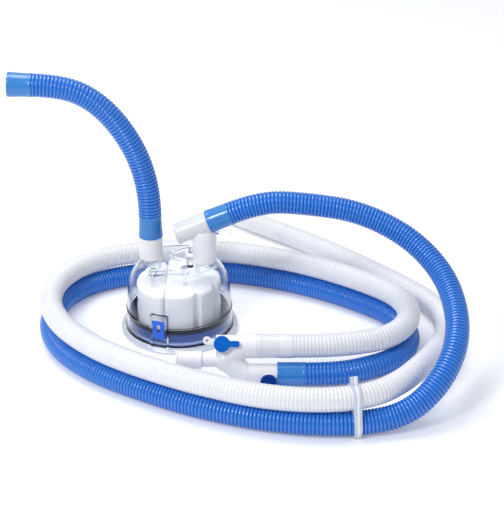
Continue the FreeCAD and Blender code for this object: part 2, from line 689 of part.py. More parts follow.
def y_piece_body():
    """Moulded Y: hub, two legs, two parallel ports, patient spigot, two capped bosses and a tether lug."""
    upper, lower = half_pitch, -half_pitch
    body = Part.makeSphere(hub_r, V(hub_x, 0, 0))
    for z in (upper, lower):
        d = unit(V(hub_x, 0, 0), V(leg_x, 0, z))
        body = body.fuse(cylinder(leg_r, (hub_x, 0, 0), tuple(d), V(leg_x - hub_x, 0, z).Length))
        body = body.fuse(Part.makeSphere(leg_r, V(leg_x, 0, z)))
    body = body.fuse(cylinder(leg_r, (leg_x, 0, upper), (-1, 0, 0), leg_x - stub_x0))
    body = body.fuse(cylinder(upper_collar_r, (leg_x - 2, 0, upper), (1, 0, 0), collar_x1 - leg_x + 2))
    body = body.fuse(cylinder(cone_22_r, (collar_x1, 0, upper), (1, 0, 0), cone_depth))
    body = body.fuse(cylinder(cone_22_r, (leg_x, 0, lower), (1, 0, 0), lower_port_x1 + cone_depth - leg_x))
    body = body.fuse(cylinder(neck_r, (swivel_x1 + 1.2, 0, 0), (1, 0, 0), hub_x - swivel_x1))
    body = body.fuse(cylinder(spigot_r, (spigot_x0, 0, 0), (1, 0, 0), hub_x - spigot_x0))
    lug = cylinder(lug_r, (lug_at[0], -lug_t / 2, lug_at[1]), (0, 1, 0), lug_t)
    arm = Part.makeBox(lug_arm[0], lug_t, lug_arm[1], V(lug_at[0], -lug_t / 2, lug_at[1] - lug_r))
    body = body.fuse(lug).fuse(arm)
    bosses = ((upper_cap_x, upper, upper_boss_deg), (lower_cap_x, lower, lower_boss_deg))
    for x, z, degrees in bosses:
        body = body.fuse(cylinder(boss_r, (x, 0, z), boss_axis(degrees), boss_top))
    bore = Part.makeSphere(cone_22_bore, V(hub_x, 0, 0))
    for z in (upper, lower):
        d = unit(V(hub_x, 0, 0), V(leg_x, 0, z))
        bore = bore.fuse(cylinder(cone_22_bore, (hub_x, 0, 0), tuple(d), V(leg_x - hub_x, 0, z).Length))
        bore = bore.fuse(Part.makeSphere(cone_22_bore, V(leg_x, 0, z)))
        bore = bore.fuse(cylinder(cone_22_bore, (leg_x, 0, z), (1, 0, 0), through))
    bore = bore.fuse(cylinder(stub_bore, (leg_x, 0, upper), (-1, 0, 0), leg_x - stub_x0 - 2))
    bore = bore.fuse(cylinder(spigot_r - spigot_wall, (0, 0, 0), (1, 0, 0), hub_x))
    for x, z, degrees in bosses:
        bore = bore.fuse(cylinder(boss_bore, (x, 0, z), boss_axis(degrees), through))
    bore = bore.fuse(cylinder(lug_hole_r, (lug_at[0], -lug_t, lug_at[1]), (0, 1, 0), 2 * lug_t))
    groove = cylinder(spigot_r + 1, (ring_x, 0, 0), (1, 0, 0), ring_w)
    groove = groove.cut(cylinder(spigot_r - ring_depth, (ring_x, 0, 0), (1, 0, 0), ring_w))
    return lay_y(body.cut(bore).cut(groove).removeSplitter())


def swivel_o_ring():
    """Seal in the spigot's groove, just clear of the swivel that turns over it."""
    outer = cylinder(spigot_r - 0.02, (ring_x, 0, 0), (1, 0, 0), ring_w)
    return lay_y(outer.cut(cylinder(spigot_r - ring_depth, (ring_x, 0, 0), (1, 0, 0), ring_w)))


def patient_swivel():
    """15 mm patient socket that turns on the Y-piece's spigot, with grip flats along its barrel."""
    body = cylinder(swivel_r, (swivel_x0, 0, 0), (1, 0, 0), swivel_x1 - swivel_x0)
    for x, rim_w, rim_rise in swivel_rims:
        body = body.fuse(cylinder(swivel_r + rim_rise, (x, 0, 0), (1, 0, 0), rim_w))
    body = body.cut(cylinder(socket_15_r, (swivel_x0, 0, 0), (1, 0, 0), spigot_x0 - 2.0 - swivel_x0))
    body = body.cut(cylinder(spigot_r - spigot_wall, (swivel_x0, 0, 0), (1, 0, 0), through))
    clear_r = spigot_r + swivel_clearance
    body = body.cut(cylinder(clear_r, (spigot_x0 - fit_gap, 0, 0), (1, 0, 0), through))
    return lay_y(body.removeSplitter())


def cap(degrees, x, z, tail, rings):
    """A push-in cap: disc, plug and pull tab, built facing -Y and then turned down about its port's axis."""
    face = -boss_top
    body = cylinder(cap_r, (x, face, z), (0, -1, 0), cap_t)
    body = body.fuse(cylinder(plug_r, (x, face, z), (0, 1, 0), plug_l))
    if tail:
        strip = Part.makeBox(tail_l, cap_t, tail_w, V(x, face - cap_t, z - tail_w / 2))
        tip = [e for e in strip.Edges if e.BoundBox.XMin > x + 1 and e.BoundBox.YLength > 1]
        body = body.fuse(strip.makeFillet(cap_corner_r, tip))
    for r in rings:
        start = (x, face - cap_t, z)
        rim = cylinder(r, start, (0, -1, 0), cap_rim_h)
        body = body.fuse(rim.cut(cylinder(r - cap_rim_w, start, (0, -1, 0), cap_rim_h)))
    body.rotate(V(x, 0, z), V(1, 0, 0), degrees)
    return lay_y(body.removeSplitter())


def upper_port_cap():
    return cap(upper_boss_deg, upper_cap_x, half_pitch, True, ())


def lower_port_cap():
    return cap(lower_boss_deg, lower_cap_x, -half_pitch, False, (cap_r, 4.6))


def expiratory_y_cuff():
    """Translucent cuff between the upper port and the white hose, with a collar at the hose's end."""
    x0 = collar_x1
    x1 = white_cuff_x1 - white_collar_l
    body = cylinder(cuff_mouth_r + 0.5, (x0, 0, half_pitch), (1, 0, 0), x1 - x0)
    body = body.fuse(cylinder(cuff_mouth_r + 0.1, (x1, 0, half_pitch), (1, 0, 0), white_collar_l))
    body = body.cut(cylinder(socket_22_r, (x0, 0, half_pitch), (1, 0, 0), cone_depth))
    body = body.cut(cylinder(cone_22_bore, (x0, 0, half_pitch), (1, 0, 0), white_cuff_x1 - x0))
    return lay_y(body.removeSplitter())


def inspiratory_y_cuff():
    """Blue cuff over the lower port."""
    length = blue_cuff_x1 - lower_port_x1
    return lay_y(cuff((lower_port_x1, 0, -half_pitch), (1, 0, 0), length=length))


# Machine end of the expiratory limb

end_dir = unit(V(*expiratory_route[-2]), V(*expiratory_route[-1]))


def expiratory_end_sleeve():
    """Smooth translucent sleeve over the end of the white hose."""
    start = expiratory_route[-1]
    d = tuple(end_dir)
    body = cylinder(cuff_mouth_r, start, d, sleeve_length)
    body = body.cut(cylinder(cone_22_bore, start, d, sleeve_length))
    return body.cut(cylinder(socket_22_r, along(start, d, sleeve_length - cone_depth), d, cone_depth))


def expiratory_connector():
    """22 mm connector in the sleeve: male cone inside, female socket outside."""
    d = tuple(end_dir)
    start = along(expiratory_route[-1], d, sleeve_length)
    body = cylinder(lay_z - 0.05, start, d, connector_length)
    body = body.fuse(cylinder(cone_22_r, start, (-d[0], -d[1], -d[2]), cone_depth - 1))
    body = body.cut(cylinder(cone_22_bore, along(start, d, -through / 2), d, through))
    body = body.cut(cylinder(socket_22_r, along(start, d, connector_length - cone_depth), d, cone_depth))
    return body.removeSplitter()


# Clip

def hose_clip():
    """Spring clip round both limbs: two rings in one band, open below, with a finger lip and two feet."""
    inner = hose_od / 2 + clip_clearance
    outer = inner + clip_wall
    (low_y, low_z), (high_y, high_z) = clip_centres
    pitch = math.hypot(high_y - low_y, high_z - low_z)
    tilt = math.degrees(math.atan2(high_y - low_y, high_z - low_z))
    x0 = -clip_width / 2
    band = cylinder(outer, (x0, 0, 0), (1, 0, 0), clip_width)
    band = band.fuse(cylinder(outer, (x0, 0, pitch), (1, 0, 0), clip_width))
    band = band.fuse(Part.makeBox(clip_width, 2 * outer, pitch, V(x0, -outer, 0)))
    band = band.fuse(Part.makeBox(ridge_w, ridge_h + 1, pitch, V(-ridge_w / 2, -outer - ridge_h, 0)))
    band = band.fuse(Part.makeBox(clip_width, lip_t, lip_h, V(x0 - lip_shift, lip_y, pitch + inner + 0.4)))
    half = through / 2
    hollow = cylinder(inner, (-half, 0, 0), (1, 0, 0), through)
    hollow = hollow.fuse(cylinder(inner, (-half, 0, pitch), (1, 0, 0), through))
    hollow = hollow.fuse(Part.makeBox(through, 2 * clip_throat, pitch, V(-half, -clip_throat, 0)))
    band = band.cut(hollow)
    band.rotate(V(0, 0, 0), V(1, 0, 0), -tilt)
    band = band.cut(Part.makeBox(through, through, through, V(-half, -half, clip_foot_z - low_z - through)))
    for side in (-1, 1):
        y = side * clip_foot_y - clip_foot_t / 2
        foot = Part.makeBox(clip_width, clip_foot_t, 1.6, V(x0, y, clip_foot_z - low_z))
        band = band.fuse(foot.cut(cylinder(inner, (x0, 0, 0), (1, 0, 0), clip_width)))
    band.rotate(V(0, 0, 0), V(0, 0, 1), clip_heading_deg)
    band.translate(V(clip_x, low_y, low_z))
    return band.removeSplitter()


NODES = {
    "chamber_dome": chamber_dome,
    "base_plate": base_plate,
    "crimp_ring": crimp_ring,
    "base_seal": base_seal,
    "level_tab": level_tab,
    "primary_float": primary_float,
    "secondary_float": secondary_float,
    "float_guide": float_guide,
    "valve_housing": valve_housing,
    "feed_tube": feed_tube,
    "inlet_adaptor": inlet_adaptor,
    "dry_line_cuff": dry_line_cuff,
    "dry_line_hose": lambda: hose("dry_line_hose", dry_route),
    "dry_line_end_cuff": dry_line_end_cuff,
    "elbow_body": elbow_body,
    "heater_socket": heater_socket,
    "socket_pins": socket_pins,
    "probe_port_cap": probe_port_cap,
    "inspiratory_chamber_cuff": inspiratory_chamber_cuff,
    "inspiratory_hose": lambda: hose("inspiratory_hose", inspiratory_route),
    "inspiratory_y_cuff": inspiratory_y_cuff,
    "y_piece_body": y_piece_body,
    "patient_swivel": patient_swivel,
    "swivel_o_ring": swivel_o_ring,
    "upper_port_cap": upper_port_cap,
    "lower_port_cap": lower_port_cap,
    "expiratory_y_cuff": expiratory_y_cuff,
    "expiratory_hose": lambda: hose("expiratory_hose", expiratory_route),
    "expiratory_end_sleeve": expiratory_end_sleeve,
    "expiratory_connector": expiratory_connector,
    "hose_clip": hose_clip,
}


os.makedirs("parts", exist_ok=True)
for name, make in NODES.items():
    shape = make()
    if len(shape.Solids) == 1:
        shape = shape.Solids[0]
    print(name, "solids", len(shape.Solids), "valid", shape.isValid(), "volume", round(shape.Volume))
    shape.exportStep("parts/" + name + ".step")
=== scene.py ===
# Ventilator breathing circuit: finish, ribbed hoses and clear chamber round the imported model.
# Metres, +Z up. The chamber's base centre is the origin, and the camera stands on the -Y side.
import json
import math

import bmesh
import bpy
from mathutils import Matrix, Vector

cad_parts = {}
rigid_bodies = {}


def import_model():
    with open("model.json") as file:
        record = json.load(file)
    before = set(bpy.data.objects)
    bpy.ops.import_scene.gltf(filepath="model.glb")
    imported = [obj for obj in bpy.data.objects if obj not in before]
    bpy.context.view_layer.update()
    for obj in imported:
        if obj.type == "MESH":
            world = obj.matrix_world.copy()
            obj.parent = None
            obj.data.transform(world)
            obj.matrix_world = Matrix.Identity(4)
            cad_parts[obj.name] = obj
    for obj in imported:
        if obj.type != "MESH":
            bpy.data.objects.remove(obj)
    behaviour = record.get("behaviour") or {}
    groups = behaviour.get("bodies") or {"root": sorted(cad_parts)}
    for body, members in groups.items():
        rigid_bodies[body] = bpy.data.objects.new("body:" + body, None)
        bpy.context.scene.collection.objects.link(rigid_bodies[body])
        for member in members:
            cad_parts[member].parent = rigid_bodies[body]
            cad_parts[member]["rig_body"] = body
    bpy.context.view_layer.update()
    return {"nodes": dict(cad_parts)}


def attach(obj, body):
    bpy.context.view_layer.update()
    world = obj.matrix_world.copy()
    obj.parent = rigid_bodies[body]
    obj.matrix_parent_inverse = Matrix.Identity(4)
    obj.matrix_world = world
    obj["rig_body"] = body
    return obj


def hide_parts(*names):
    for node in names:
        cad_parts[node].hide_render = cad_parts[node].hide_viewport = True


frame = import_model()
scene = bpy.context.scene
scene.view_settings.view_transform = "Standard"
print("frame loaded,", len(frame["nodes"]), "nodes")

mm = 0.001

onAxis = 0.001          # a radius below this, in millimetres, is a point on the axis
cornerCut = 0.42        # how much of an edge a rounded corner may take
mergeWithin = 1e-6      # metres
relaxShare = 0.5        # how far one smoothing pass moves a point
smoothUpTo = {"turned": 34, "moulded": 60, "ribbed": 80}      # degrees

# places on the chamber seen from above, in millimetres
inlet = (-30, 4)
outlet = (29.5, -4)
feedBosses = ((14.5, 15.5), (14.0, -18.5))


# Small helpers for meshes

def newObject(name, mesh):
    obj = bpy.data.objects.new(name, mesh)
    scene.collection.objects.link(obj)
    return obj


def meshFromBmesh(name, bm):
    mesh = bpy.data.meshes.new(name)
    bm.to_mesh(mesh)
    bm.free()
    return mesh


def plainCopy(obj):
    # the evaluated result of an object's modifiers as a plain mesh
    depsgraph = bpy.context.evaluated_depsgraph_get()
    return bpy.data.meshes.new_from_object(obj.evaluated_get(depsgraph), depsgraph=depsgraph)


def applyModifiers(obj):
    bpy.context.view_layer.update()
    mesh = plainCopy(obj)
    obj.modifiers.clear()
    obj.data = mesh


def dropObject(obj):
    bpy.data.objects.remove(obj)


def setMaterial(obj, material):
    obj.data.materials.clear()
    obj.data.materials.append(material)


def smoothByAngle(mesh, degrees):
    for polygon in mesh.polygons:
        polygon.use_smooth = True
    mesh.set_sharp_from_angle(angle=math.radians(degrees))


def faceOutwards(mesh):
    bm = bmesh.new()
    bm.from_mesh(mesh)
    bmesh.ops.remove_doubles(bm, verts=bm.verts, dist=mergeWithin)
    bmesh.ops.recalc_face_normals(bm, faces=bm.faces)
    bm.to_mesh(mesh)
    bm.free()


def triangleCount(obj):
    return sum(len(p.vertices) - 2 for p in obj.data.polygons)


def standFor(obj, node, material):
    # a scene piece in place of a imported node, riding on the node's body
    setMaterial(obj, material)
    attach(obj, frame["nodes"][node]["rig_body"])
    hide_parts(node)
    return obj


def markZone(obj, share):
    # a value for each point, 0 to 1, from its place in millimetres
    zone = obj.data.attributes.new("zone", "FLOAT", "POINT")
    zone.data.foreach_set("value", [share(v.co / mm) for v in obj.data.vertices])


def roundedOutline(points, radius, steps=3):
    # each corner of a closed outline eased with a short curve; points on the axis stay
    eased = []
    for before, here, after in zip(points[-1:] + points[:-1], points, points[1:] + points[:1]):
        corner = Vector(here)
        if here[1] < onAxis:
            eased.append(here)
            continue
        back = Vector(before) - corner
        ahead = Vector(after) - corner
        cut = min(radius, cornerCut * back.length, cornerCut * ahead.length)
        first = corner + back.normalized() * cut
        last = corner + ahead.normalized() * cut
        for step in range(steps + 1):
            t = step / steps
            spot = first * (1 - t) ** 2 + corner * 2 * t * (1 - t) + last * t ** 2
            eased.append((spot.x, spot.y))
    return eased


def turnedPiece(name, outline, place, direction, segments, ease=0.3):
    # a closed outline of (distance along the axis, radius), in millimetres, turned about the axis
    axis = Vector(direction).normalized()
    across = axis.orthogonal().normalized()
    other = axis.cross(across)
    bm = bmesh.new()
    rings = []
    for distance, radius in roundedOutline(outline, ease):
        centre = Vector(place) + axis * distance
        if radius < onAxis:
            rings.append([bm.verts.new(centre * mm)])
            continue
        ring = []
        for i in range(segments):
            a = 2 * math.pi * i / segments
            ring.append(bm.verts.new((centre + (across * math.cos(a) + other * math.sin(a)) * radius) * mm))
        rings.append(ring)
    for first, second in zip(rings, rings[1:] + rings[:1]):
        if len(first) + len(second) == 2:
            continue
        for i in range(segments):
            j = (i + 1) % segments
            corners = [first[i % len(first)], first[j % len(first)]]
            corners += [second[j % len(second)], second[i % len(second)]]
            bm.faces.new(list(dict.fromkeys(corners)))
    obj = newObject(name, meshFromBmesh(name, bm))
    faceOutwards(obj.data)
    smoothByAngle(obj.data, smoothUpTo["turned"])
    return obj


def softCopy(name, node, voxel, passes):
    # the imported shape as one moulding, its edges and inside corners eased the way a mould leaves them
    obj = newObject(name, frame["nodes"][node].data.copy())
    faceOutwards(obj.data)
    remesh = obj.modifiers.new("mould", "REMESH")
    remesh.mode = "VOXEL"
    remesh.voxel_size = voxel * mm
    relax = obj.modifiers.new("ease", "SMOOTH")
    relax.factor = relaxShare
    relax.iterations = passes
    applyModifiers(obj)
    smoothByAngle(obj.data, smoothUpTo["moulded"])
    print(name, "triangles", triangleCount(obj))
    return obj


# Small helpers for nodes

def fillSocket(links, socket, value):
    # a socket takes the output of another node, or a plain value
    if isinstance(value, bpy.types.NodeSocket):
        links.new(value, socket)
    else:
        socket.default_value = value


def calcNode(nodes, links, operation, *values):
    # the output of a Math node
    node = nodes.new("ShaderNodeMath")
    node.operation = operation
    for socket, value in zip(node.inputs, values):
        fillSocket(links, socket, value)
    return node.outputs[0]


def mixNode(nodes, links, kind, *values):
    # the result of a Mix node from its share, first and second values
    node = nodes.new("ShaderNodeMix")
    node.data_type = kind
    for socket, value in zip([s for s in node.inputs if s.enabled], values):
        fillSocket(links, socket, value)
    return [s for s in node.outputs if s.enabled][0]


def attributeNode(nodes, name):
    node = nodes.new("ShaderNodeAttribute")
    node.attribute_name = name
    return node.outputs["Fac"]


# Camera, floor and light

cameraView = {
    "place": (0.0821, -1.4936, 0.8325),
    "tiltDeg": 63.6,
    "lens": 106.3,
    "sensor": 36.0,
}

light = {
    "worldColor": (0.95, 0.97, 1.0),
    "worldStrength": 0.56,
    "lamps": {
        "topLamp": {"place": (-0.35, 0.45, 1.9), "size": 1.1, "power": 15.0},
        "keyLamp": {"place": (-0.95, -1.25, 1.5), "size": 1.1, "power": 4.0},
        "glintLamp": {"place": (-0.97, -1.25, 1.53), "size": 0.42, "power": 11.0},
    },
    "target": (0.05, -0.02, 0.05),
    "backdropStrength": 1.0,
}

floorLook = {
    "reach": 6.0,           # metres from the middle to each side
    "drop": 0.0004,         # how far the floor lies under the part
    "color": (0.955, 0.965, 0.985),
    "rough": 0.9,
    "shine": 0.1,
    "glow": 0.19,
}


def makeCamera():
    data = bpy.data.cameras.new("photoCamera")
    data.sensor_fit = "VERTICAL"
    data.sensor_height = cameraView["sensor"]
    data.lens = cameraView["lens"]
    data.clip_start = 0.05
    camera = newObject("photoCamera", data)
    camera.location = cameraView["place"]
    camera.rotation_euler = (math.radians(cameraView["tiltDeg"]), 0, 0)
    scene.camera = camera


def seenDirectly(nodes, links):
    # one for camera and see-through rays, which meet the bright background
    path = nodes.new("ShaderNodeLightPath")
    rays = path.outputs["Is Camera Ray"], path.outputs["Is Transmission Ray"]
    return calcNode(nodes, links, "MAXIMUM", *rays)


def makeWorld():
    world = bpy.data.worlds.new("studio")
    scene.world = world
    world.use_nodes = True
    nodes, links = world.node_tree.nodes, world.node_tree.links
    nodes.clear()
    plain = nodes.new("ShaderNodeBackground")
    plain.inputs["Color"].default_value = (*light["worldColor"], 1)
    plain.inputs["Strength"].default_value = light["worldStrength"]
    bright = nodes.new("ShaderNodeBackground")
    bright.inputs["Color"].default_value = (1, 1, 1, 1)
    bright.inputs["Strength"].default_value = light["backdropStrength"]
    mix = nodes.new("ShaderNodeMixShader")
    out = nodes.new("ShaderNodeOutputWorld")
    links.new(seenDirectly(nodes, links), mix.inputs[0])
    links.new(plain.outputs[0], mix.inputs[1])
    links.new(bright.outputs[0], mix.inputs[2])
    links.new(mix.outputs[0], out.inputs["Surface"])


def makeLamp(name, facts):
    data = bpy.data.lights.new(name, "AREA")
    data.shape = "DISK"
    data.size = facts["size"]
    data.energy = facts["power"]
    lamp = newObject(name, data)
    lamp.location = facts["place"]
    aim = Vector(light["target"]) - Vector(facts["place"])
    lamp.rotation_euler = aim.to_track_quat("-Z", "Y").to_euler()


def makeFloor():
    bm = bmesh.new()
    bmesh.ops.create_grid(bm, x_segments=1, y_segments=1, size=floorLook["reach"])
    floor = newObject("floor", meshFromBmesh("floor", bm))
    floor.data.transform(Matrix.Translation((0, 0, -floorLook["drop"])))
    material = bpy.data.materials.new("paleFloor")
    material.use_nodes = True
    nodes, links = material.node_tree.nodes, material.node_tree.links
    surface = nodes["Principled BSDF"]
    surface.inputs["Base Color"].default_value = (*floorLook["color"], 1)
    surface.inputs["Roughness"].default_value = floorLook["rough"]
    surface.inputs["Specular IOR Level"].default_value = floorLook["shine"]
    surface.inputs["Emission Color"].default_value = (1, 1, 1, 1)
    glow = calcNode(nodes, links, "MULTIPLY", seenDirectly(nodes, links), floorLook["glow"])
    links.new(glow, surface.inputs["Emission Strength"])
    floor.data.materials.append(material)


makeCamera()
makeWorld()
for name, facts in light["lamps"].items():
    makeLamp(name, facts)
makeFloor()
print("camera, floor and light ready")


# Finishes. Groups put out masks, values and normals; the surface shader stays in each material.

def newGroup(name, inputs, outputs):
    group = bpy.data.node_groups.new(name, "ShaderNodeTree")
    for label, kind, value in inputs:
        socket = group.interface.new_socket(name=label, in_out="INPUT", socket_type=kind)
        socket.default_value = value
    for label, kind in outputs:
        group.interface.new_socket(name=label, in_out="OUTPUT", socket_type=kind)
    start = group.nodes.new("NodeGroupInput")
    end = group.nodes.new("NodeGroupOutput")
    return group, group.nodes, group.links, start, end


mouldLook = {
    "cloudScale": 45.0,
    "cloudDetail": 3.0,
    "grainDetail": 2.0,
    "grainHeight": 0.0003,      # metres
    "rippleDetail": 1.0,
    "rippleHeight": 0.004,      # metres
}


def makeMouldGroup():
    # moulded surface: faint mottling of colour, uneven gloss and a soft ripple in the normal
    group, nodes, links, start, end = newGroup("mouldSurface", [
        ("Color", "NodeSocketColor", (1, 1, 1, 1)),
        ("Mottle", "NodeSocketFloat", 0.04),
        ("Roughness", "NodeSocketFloat", 0.3),
        ("Gloss Change", "NodeSocketFloat", 0.08),
        ("Grain Scale", "NodeSocketFloat", 900.0),
        ("Grain Depth", "NodeSocketFloat", 0.05),
        ("Ripple Scale", "NodeSocketFloat", 60.0),
        ("Ripple Depth", "NodeSocketFloat", 0.05),
    ], [("Color", "NodeSocketColor"), ("Roughness", "NodeSocketFloat"), ("Normal", "NodeSocketVector")])
    spot = nodes.new("ShaderNodeTexCoord")
    cloud = nodes.new("ShaderNodeTexNoise")
    cloud.inputs["Scale"].default_value = mouldLook["cloudScale"]
    cloud.inputs["Detail"].default_value = mouldLook["cloudDetail"]
    links.new(spot.outputs["Object"], cloud.inputs["Vector"])
    centred = calcNode(nodes, links, "SUBTRACT", cloud.outputs["Fac"], 0.5)
    shift = calcNode(nodes, links, "MULTIPLY_ADD", centred, start.outputs["Mottle"], 1.0)
    tone = nodes.new("ShaderNodeVectorMath")
    tone.operation = "SCALE"
    links.new(start.outputs["Color"], tone.inputs[0])
    links.new(shift, tone.inputs["Scale"])
    links.new(tone.outputs[0], end.inputs["Color"])
    change, rough = start.outputs["Gloss Change"], start.outputs["Roughness"]
    links.new(calcNode(nodes, links, "MULTIPLY_ADD", centred, change, rough), end.inputs["Roughness"])
    below = None
    for label, part in (("Ripple", "ripple"), ("Grain", "grain")):
        noise = nodes.new("ShaderNodeTexNoise")
        noise.inputs["Detail"].default_value = mouldLook[part + "Detail"]
        links.new(spot.outputs["Object"], noise.inputs["Vector"])
        links.new(start.outputs[label + " Scale"], noise.inputs["Scale"])
        bump = nodes.new("ShaderNodeBump")
        bump.inputs["Distance"].default_value = mouldLook[part + "Height"]
        links.new(start.outputs[label + " Depth"], bump.inputs["Strength"])
        links.new(noise.outputs["Fac"], bump.inputs["Height"])
        if below is not None:
            links.new(below, bump.inputs["Normal"])
        below = bump.outputs[0]
    links.new(below, end.inputs["Normal"])
    return group


def makeRibGroup():
    # ribbed hose: painted shade makes the grooves darker, and they are dull; the crests are paler and glossy;
    # all by the groove attribute
    group, nodes, links, start, end = newGroup("ribShade", [
        ("Crest", "NodeSocketColor", (1, 1, 1, 1)),
        ("Groove", "NodeSocketColor", (0.5, 0.5, 0.5, 1)),
        ("Crest Roughness", "NodeSocketFloat", 0.25),
        ("Groove Roughness", "NodeSocketFloat", 0.7),
        ("Crest Coat", "NodeSocketFloat", 0.4),
    ], [("Color", "NodeSocketColor"), ("Roughness", "NodeSocketFloat"), ("Coat", "NodeSocketFloat")])
    mask = attributeNode(nodes, "groove")
    for kind, label, crest, groove in (
            ("RGBA", "Color", start.outputs["Crest"], start.outputs["Groove"]),
            ("FLOAT", "Roughness", start.outputs["Crest Roughness"], start.outputs["Groove Roughness"]),
            ("FLOAT", "Coat", start.outputs["Crest Coat"], 0.0)):
        links.new(mixNode(nodes, links, kind, mask, crest, groove), end.inputs[label])
    return group


# upright round zones, in millimetres
frostZones = [{"at": at, "reach": 14.0, "low": 0.0, "high": 82.0} for at in (inlet, outlet)]
frostZones += [{"at": at, "reach": 4.6, "low": 84.0, "high": 100.0} for at in feedBosses]


def makeFrostGroup():
    # the skirts under the two ports and the feed bosses are frosted, and the rest of the moulding is clear
    group, nodes, links, start, end = newGroup("frostZones", [
        ("Clear", "NodeSocketFloat", 0.02),
        ("Frosted", "NodeSocketFloat", 0.3),
    ], [("Roughness", "NodeSocketFloat")])
    spot = nodes.new("ShaderNodeTexCoord")
    parts = nodes.new("ShaderNodeSeparateXYZ")
    links.new(spot.outputs["Object"], parts.inputs[0])

    def calc(operation, *values):
        return calcNode(nodes, links, operation, *values)

    inside = None
    for zone in frostZones:
        x = calc("SUBTRACT", parts.outputs["X"], zone["at"][0] * mm)
        y = calc("SUBTRACT", parts.outputs["Y"], zone["at"][1] * mm)
        away = calc("SQRT", calc("ADD", calc("MULTIPLY", x, x), calc("MULTIPLY", y, y)))
        close = calc("LESS_THAN", away, zone["reach"] * mm)
        above = calc("GREATER_THAN", parts.outputs["Z"], zone["low"] * mm)
        below = calc("LESS_THAN", parts.outputs["Z"], zone["high"] * mm)
        share = calc("MULTIPLY", close, calc("MULTIPLY", above, below))
        inside = share if inside is None else calc("MAXIMUM", inside, share)
    frost = mixNode(nodes, links, "FLOAT", inside, start.outputs["Clear"], start.outputs["Frosted"])
    links.new(frost, end.inputs["Roughness"])
    return group


mouldGroup = makeMouldGroup()
ribGroup = makeRibGroup()
frostGroup = makeFrostGroup()


def srgb(r, g, b):
    # a colour given as it looks on screen, 0 to 255, as the shader's linear value
    def linear(v):
        v = v / 255
        return v / 12.92 if v <= 0.04045 else ((v + 0.055) / 1.055) ** 2.4
    return (linear(r), linear(g), linear(b), 1.0)


finishes = {
    "whiteMoulding": {"color": srgb(252, 252, 253), "rough": 0.28, "mottle": 0.02, "ripple": 0.02,
                      "coat": 0.15},
    "elbowMoulding": {"color": srgb(252, 252, 253), "zoneColor": srgb(228, 231, 235), "rough": 0.24,
                      "mottle": 0.02, "ripple": 0.02, "coat": 0.2},
    "blueCuff": {"color": srgb(48, 132, 211), "rough": 0.24, "mottle": 0.07, "ripple": 0.05, "coat": 0.5},
    "blueCap": {"color": srgb(0, 102, 200), "rough": 0.32, "mottle": 0.06, "ripple": 0.03, "shine": 0.12},
    # painted shade: the cap blue darkened, for the lower cap that lies in the hose's shadow
    "paintedShadeBlueCap": {"color": srgb(1, 62, 150), "rough": 0.32, "mottle": 0.06, "ripple": 0.03, "shine": 0.12},
    "blueTab": {"color": srgb(30, 100, 222), "rough": 0.35, "mottle": 0.06, "ripple": 0.0, "shine": 0.2},
    "blackSeal": {"color": srgb(4, 4, 10), "rough": 0.5, "mottle": 0.15, "ripple": 0.05, "shine": 0.1},
    "frostedWhite": {"color": srgb(252, 253, 255), "rough": 0.36, "mottle": 0.04, "ripple": 0.1,
                     "through": 0.15},
    "frostedCuff": {"color": srgb(243, 244, 247), "zoneColor": srgb(237, 239, 242), "rough": 0.26,
                    "mottle": 0.02, "ripple": 0.03, "coat": 0.2},
    "clearShell": {"color": srgb(248, 251, 255), "rough": 0.02, "mottle": 0.0, "ripple": 0.05, "through": 1.0,
                   "ior": 1.45, "frost": 0.3, "tint": (0.6, 0.66, 0.78, 1)},
    "clearTrim": {"color": srgb(246, 248, 252), "rough": 0.06, "mottle": 0.0, "ripple": 0.04, "through": 1.0},
    "greyInsert": {"color": srgb(120, 124, 132), "rough": 0.55, "mottle": 0.06, "ripple": 0.0},
    "contactBrass": {"color": srgb(214, 176, 96), "rough": 0.25, "mottle": 0.1, "ripple": 0.0, "metal": 1.0},
    # the cup's zone colour is a painted reflection of the bright flange, a paler band low in its wall
    "cupMetal": {"color": srgb(50, 76, 134), "zoneColor": srgb(160, 176, 212), "rough": 0.14, "mottle": 0.16,
                 "ripple": 0.03, "metal": 0.9},
    "rimMetal": {"color": srgb(240, 242, 250), "rough": 0.24, "mottle": 0.06, "ripple": 0.03, "metal": 0.55},
    "clipPlastic": {"color": srgb(206, 215, 234), "zoneColor": srgb(250, 250, 253), "rough": 0.2,
                    "mottle": 0.02, "ripple": 0.03, "coat": 0.3},
}


def letShadowRaysPass(nodes, links, surface, share):
    # clear plastic throws hardly any shadow, so that what it covers is lit
    path = nodes.new("ShaderNodeLightPath")
    fade = calcNode(nodes, links, "MULTIPLY_ADD", path.outputs["Is Shadow Ray"], -share, 1.0)
    links.new(fade, surface.inputs["Alpha"])


usual = {
    "ior": 1.49,
    "shine": 0.5,
    "coatRough": 0.12,
    "glossChange": 0.3,         # how much the gloss varies, as a share of the roughness
    "clearFrom": 0.9,           # a finish that lets more than this through counts as clear
    "shadowRaysPassed": 0.98,
}


